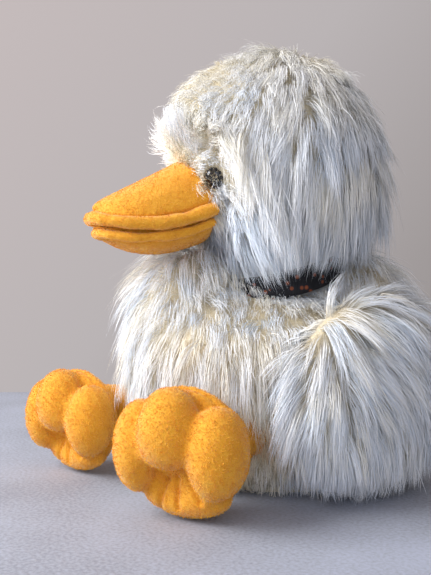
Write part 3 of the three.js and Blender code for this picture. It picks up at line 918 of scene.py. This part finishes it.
def comb_head(place, normal):
    """Away from a whorl on the crown, and outwards round the bill."""
    _, back, up = to_head(place).T / mm
    crown = rise(up, 35, 75)
    away = along_skin(-np.tile(unit(np.array([0.1, 0.25, 1.0])), (len(place), 1)), normal)
    bill_gap = gap_to(bill_trees, place)
    face = np.exp(-((bill_gap / 38) ** 2))
    outwards = along_skin(place - BILL_ROOT, normal)
    lie = along_skin(away * (1 - face)[:, None] + outwards * (1.6 * face)[:, None], normal)
    spin = crown * 1.2 * drift(place, 60 * mm, 3) + 0.28 * drift(place, 45 * mm, 4)
    lie = turned(lie, normal, spin)
    forehead = rise(-back, 25, 65) * rise(up, -5, 15) * (1 - 0.6 * rise(up, 40, 70))
    low = rise(-up, 5, 60)
    length = 34 + 20 * rise(-up, -30, 25) + 18 * low + 4 * drift(place, 30 * mm, 6)
    length = length - 6 * crown - 20 * rise(-back, 5, 45) * rise(up, 5, 35)
    length = np.minimum(length, np.where(up > 5, 16 + bill_gap, 10 + bill_gap * 1.25))
    hem = CHIN_HEM + HEM_RISE * rise(place @ np.array(sideways) / mm, -40, 0)
    length = np.minimum(length, 6 + np.maximum(0, place[:, 2] / mm - hem))
    eye_gap = eye_distance(place) / mm
    length = np.where(eye_gap < 34, np.minimum(length, np.maximum(0, eye_gap - 8) * 0.95), length)
    lift = 0.5 + 0.8 * forehead + 0.55 * crown + 0.3 * face + 0.2 * drift(place, 50 * mm, 7)
    droop = 0.9 - 1.1 * forehead + 0.8 * low
    # Painted light and shade: the crown and forehead are painted warmer, as lit by warm light from above, and
    # the underside of the head is painted cooler and bluer, as shaded.
    tone = 0.3 + 0.14 * crown + 0.08 * forehead - 0.2 * low + 0.14 * drift(place, 38 * mm, 8)
    # Painted reflected light: the coat just beside the bill is painted warmer, as orange light off the bill.
    tone = tone + 0.35 * np.exp(-bill_gap / 5)
    return lie, length * mm, np.clip(lift, 0.3, 1.6), np.clip(droop, -0.3, 2), tone


def haired(root):
    """True where the head's pile isn't shorn away round the eyes."""
    return eye_distance(root) > SHORN_ROUND_EYE


def gusset(root):
    return np.abs(to_head(root)[:, 0]) < 30 * mm


def cheek(sign):
    return lambda root: sign * to_head(root)[:, 0] >= 30 * mm


head_panels = (("crown", gusset), ("left_cheek", cheek(1)), ("right_cheek", cheek(-1)))
for seed, (panel, choose) in enumerate(head_panels):
    coat = grow_coat(
        f"head_fur_{panel}", head_skin, 62000, 6.5, 11, comb_head, "head", buried_in=bill_trees[:2],
        clear_of=bill_trees + eye_trees, choose=lambda root: choose(root) & haired(root))
    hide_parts("head_fur_shell")

# %% Body fur
foot_trees = [tree_of(plush[name]) for name in ("foot_left", "foot_right", "leg_left", "leg_right")]
wing_trees = [tree_of(skin) for skin in wing_skins.values()]


def comb_body(place, normal):
    """Straight down, shorter over the near shoulder and round the legs."""
    height = place[:, 2] / mm
    lie = along_skin(np.tile(DOWN, (len(place), 1)), normal)
    lie = turned(lie, normal, 0.22 * drift(place, 70 * mm, 12) + 0.1 * drift(place, 25 * mm, 13))
    length = 42 + 4 * drift(place, 30 * mm, 14) - 14 * rise(-height, -40, -5)
    near_side = rise(unit(place[:, :2]) @ LOW_SHOULDER, 0.2, 0.9) * rise(height, 95, 130)
    length = length - 22 * near_side
    lift = 0.45 + 0.45 * rise(height, 125, 165) - 0.2 * near_side + 0.15 * drift(place, 45 * mm, 15)
    droop = np.full(len(place), 0.9)
    leg_gap = gap_to(foot_trees, place)
    length = np.where(leg_gap < 40, np.minimum(length, 12 + leg_gap * 0.75), length)
    # Painted reflected light and shade: near the legs the coat is painted peach to tan, as orange light off
    # the legs in the shade under the body.
    tone = 0.28 + 0.2 * drift(place, 34 * mm, 16) + 0.6 * np.exp(-leg_gap / 17)
    return lie, length * mm, np.clip(lift, 0.25, 1.4), droop, tone


body_panels = (("front", lambda root: root[:, 1] < BODY_Y), ("back", lambda root: root[:, 1] >= BODY_Y))
for panel, choose in body_panels:
    coat = grow_coat(
        f"body_fur_{panel}", body_skin, 44000, 7, 21, comb_body, "torso",
        buried_in=foot_trees + wing_trees, clear_of=foot_trees, choose=choose)
    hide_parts("body_fur_shell")

# %% Wing fur
def comb_wing(sign):
    """A comb that spreads from a whorl at the shoulder and another at the elbow."""
    shoulder = np.array([sign * 98, -46, 136]) * mm
    elbow = np.array([sign * 126, -41, 92]) * mm

    def comb(place, normal):
        height = place[:, 2] / mm
        from_shoulder = place - shoulder
        from_elbow = place - elbow
        near = np.linalg.norm(from_shoulder, axis=1) / mm
        close = np.linalg.norm(from_elbow, axis=1) / mm
        way = unit(from_shoulder) * (1.3 * np.exp(-near / 45))[:, None]
        way = way + unit(from_elbow) * (1.2 * np.exp(-close / 24))[:, None] + DOWN * 0.6
        lie = turned(along_skin(way, normal), normal, 0.25 * drift(place, 40 * mm, 32))
        length = 41 + 4 * drift(place, 30 * mm, 33) - 20 * rise(-height, -65, -20)
        lift = 0.32 + 0.5 * np.exp(-near / 14) + 0.4 * np.exp(-close / 10) + 0.12 * drift(place, 35 * mm, 34)
        droop = 0.55 + 0.5 * rise(-height, -120, -60)
        tone = 0.26 + 0.2 * drift(place, 26 * mm, 35)
        return lie, length * mm, np.clip(lift, 0.25, 1.2), droop, tone

    return comb


body_tree = tree_of(body_skin)
for side, sign in (("left", 1), ("right", -1)):
    wing = f"wing_{side}"
    coat = grow_coat(
        f"{wing}_fur", wing_skins[side], 27000, 6, 31, comb_wing(sign), wing, buried_in=[body_tree])
    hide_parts(f"{wing}_outer")

# %% Tail fur
def comb_tail(place, normal):
    lie = along_skin(np.tile([0, 1.0, 0.1], (len(place), 1)), normal)
    length = 24 + 4 * drift(place, 20 * mm, 42)
    lift = np.full(len(place), 0.6)
    droop = np.full(len(place), 0.5)
    tone = 0.4 + 0.1 * drift(place, 20 * mm, 43)
    return lie, length * mm, lift, droop, tone


tail_coat = grow_coat("tail_fur_coat", tail_skin, 4000, 6, 41, comb_tail, "tail")
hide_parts("tail_fur")

# %% [markdown]
# ## Neck band
# A band of printed cotton goes once round the neck and is higher at the back than at the front. It is
# near black with rust-brown specks. It is a strip 20 mm high, modelled with its thickness, and its
# edges ripple a little where the cloth is gathered.

# %% Neck band
def printed_cotton():
    material, tree, surface = new_material("printed_cotton", 0.85)
    place = add_node(tree, "ShaderNodeTexCoord").outputs["Object"]
    specks = add_node(tree, "ShaderNodeTexVoronoi", {"Scale": 1 / (7 * mm)}, {"Vector": place})
    print_colour = ramp_of(
        tree, specks.outputs["Distance"],
        [(0.0, "#9a5531"), (0.2, "#7b3f25"), (0.26, "#1c1c22"), (0.6, "#101015")])
    tree.links.new(print_colour, surface.inputs["Base Color"])
    weave = add_node(tree, "ShaderNodeTexWave", {"Scale": 1 / (3 * mm), "Distortion": 1.0}, {"Vector": place})
    bump = add_node(
        tree, "ShaderNodeBump", {"Strength": 0.4, "Distance": 0.2 * mm}, {"Height": weave.outputs["Fac"]})
    tree.links.new(bump.outputs["Normal"], surface.inputs["Normal"])
    return material


def add_band():
    low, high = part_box("neck_band")
    middle = (low + high) / 2
    radius, height, thick = 50 * mm, 20 * mm, 0.8 * mm
    ripple, tilt, drop = 1.2 * mm, 14 * mm, 3 * mm
    around, rows = 96, 7
    vertices, faces = [], []
    for layer in (0, thick):
        for row in range(rows):
            for i in range(around):
                turn = 2 * math.pi * i / around
                share = row / (rows - 1) - 0.5
                reach = radius + layer + ripple * math.sin(5 * turn) * share
                vertices.append((
                    middle.x + reach * math.cos(turn), middle.y + reach * math.sin(turn),
                    middle.z - drop + height * share + tilt * math.sin(turn)))
    grid = rows * around
    for row in range(rows - 1):
        for i in range(around):
            a, b = row * around + i, row * around + (i + 1) % around
            faces.append((a, a + around, b + around, b))
            faces.append((grid + a, grid + b, grid + b + around, grid + a + around))
    for row in (0, rows - 1):
        for i in range(around):
            a, b = row * around + i, row * around + (i + 1) % around
            faces.append((a, b, grid + b, grid + a) if row == 0 else (b, a, grid + a, grid + b))
    band = piece_from("neck_band_cloth", vertices, faces, printed_cotton(), "neck")
    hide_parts("neck_band")
    return band


add_band()

# %% [markdown]
# ## Eyes
# Safety eyes are moulded from black acrylic and polished, so they are the only glossy part of the toy.
# Each is its own node's dome, subdivided until its outline is smooth.

# %% Eyes
def black_acrylic():
    material, tree, surface = new_material("polished_black_acrylic", 0.06, {"Coat Weight": 0.6})
    place = add_node(tree, "ShaderNodeTexCoord").outputs["Object"]
    haze = add_node(tree, "ShaderNodeTexNoise", {"Scale": 1 / (4 * mm), "Detail": 2}, {"Vector": place})
    colour = ramp_of(tree, haze.outputs["Fac"], [(0.3, "#0a0806"), (0.7, "#14100d")])
    tree.links.new(colour, surface.inputs["Base Color"])
    return material


EYE_BLACK = black_acrylic()
for side in ("left", "right"):
    source = frame["nodes"][f"eye_{side}"]
    eye = bpy.data.objects.new(f"eye_{side}_dome", source.data.copy())
    scene.collection.objects.link(eye)
    eye.data.materials.clear()
    eye.data.materials.append(EYE_BLACK)
    rounding = eye.modifiers.new("refine", "SUBSURF")
    rounding.levels = 2
    apply_modifiers(eye)
    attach(eye, "head")
    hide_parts(f"eye_{side}")

# %% [markdown]
# ## Inside the toy
# The fillings, the bean bag and the washers behind the eyes are hidden. Their shapes stay those of the
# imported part, and each gets its own finish: tufted fibre, cloth over pellets, and waxy white polythene.

# %% Fillings and washers
def fibre_filling():
    material, tree, surface = new_material("polyester_fibre_filling", 0.95)
    place = add_node(tree, "ShaderNodeTexCoord").outputs["Object"]
    tufts = add_node(tree, "ShaderNodeTexNoise", {"Scale": 1 / (9 * mm), "Detail": 6}, {"Vector": place})
    colour = ramp_of(tree, tufts.outputs["Fac"], [(0.3, "#d9d9d6"), (0.7, "#f6f6f4")])
    tree.links.new(colour, surface.inputs["Base Color"])
    bump = add_node(
        tree, "ShaderNodeBump", {"Strength": 0.8, "Distance": 2 * mm}, {"Height": tufts.outputs["Fac"]})
    tree.links.new(bump.outputs["Normal"], surface.inputs["Normal"])
    return material


def pellet_bag():
    material, tree, surface = new_material("pellet_bag_cloth", 0.9)
    place = add_node(tree, "ShaderNodeTexCoord").outputs["Object"]
    pellets = add_node(tree, "ShaderNodeTexVoronoi", {"Scale": 1 / (4 * mm)}, {"Vector": place})
    # Painted shade: the cloth is paler over each pellet and darker in the hollows between them.
    colour = ramp_of(tree, pellets.outputs["Distance"], [(0.0, "#e2e2df"), (0.8, "#bcbcb8")])
    tree.links.new(colour, surface.inputs["Base Color"])
    bump = add_node(
        tree, "ShaderNodeBump", {"Strength": 0.7, "Distance": 1.2 * mm, "invert": True},
        {"Height": pellets.outputs["Distance"]})
    tree.links.new(bump.outputs["Normal"], surface.inputs["Normal"])
    return material


def moulded_polythene():
    material, tree, surface = new_material("moulded_polythene", 0.4)
    place = add_node(tree, "ShaderNodeTexCoord").outputs["Object"]
    haze = add_node(tree, "ShaderNodeTexNoise", {"Scale": 1 / (3 * mm), "Detail": 2}, {"Vector": place})
    colour = ramp_of(tree, haze.outputs["Fac"], [(0.3, "#dcdcd8"), (0.7, "#ececea")])
    tree.links.new(colour, surface.inputs["Base Color"])
    return material


def finish_node(name, material):
    data = frame["nodes"][name].data
    data.materials.clear()
    data.materials.append(material)


FILLING = fibre_filling()
for name in ("body_filling", "neck_filling", "head_filling"):
    finish_node(name, FILLING)
finish_node("seat_bean_bag", pellet_bag())
WASHER = moulded_polythene()
for side in ("left", "right"):
    finish_node(f"eye_washer_{side}", WASHER)

# %% [markdown]
# ## Seat panel
# The duck sits on a flat round panel of brushed cream tricot, so the material is ribbed very finely.
# A wave texture repeats about three times in its scale, so these ribs come out some 2 mm apart, which
# is coarser than the real knit, so that they show.

# %% Seat panel
def brushed_tricot():
    settings = {"Sheen Weight": 0.2, "Sheen Roughness": 0.5}
    material, tree, surface = new_material("brushed_tricot", 0.92, settings)
    place = add_node(tree, "ShaderNodeTexCoord").outputs["Object"]
    ribs = add_node(tree, "ShaderNodeTexWave", {"Scale": 1 / (6 * mm), "Distortion": 1.5}, {"Vector": place})
    colour = ramp_of(tree, ribs.outputs["Fac"], [(0.0, "#cfc3a6"), (1.0, "#e2d8c0")])
    tree.links.new(colour, surface.inputs["Base Color"])
    bump = add_node(
        tree, "ShaderNodeBump", {"Strength": 0.4, "Distance": 0.3 * mm}, {"Height": ribs.outputs["Fac"]})
    tree.links.new(bump.outputs["Normal"], surface.inputs["Normal"])
    return material


finish_node("seat_panel", brushed_tricot())

# %% [markdown]
# ## Sizes
# The box of the finished duck is written beside the box of the part, so that the two can be compared.

# %% Sizes
low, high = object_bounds()
print("low", [round((a - b) / mm, 1) for a, b in zip(low, cad_low)], "mm from the part's box")
print("high", [round((a - b) / mm, 1) for a, b in zip(high, cad_high)], "mm from the part's box")
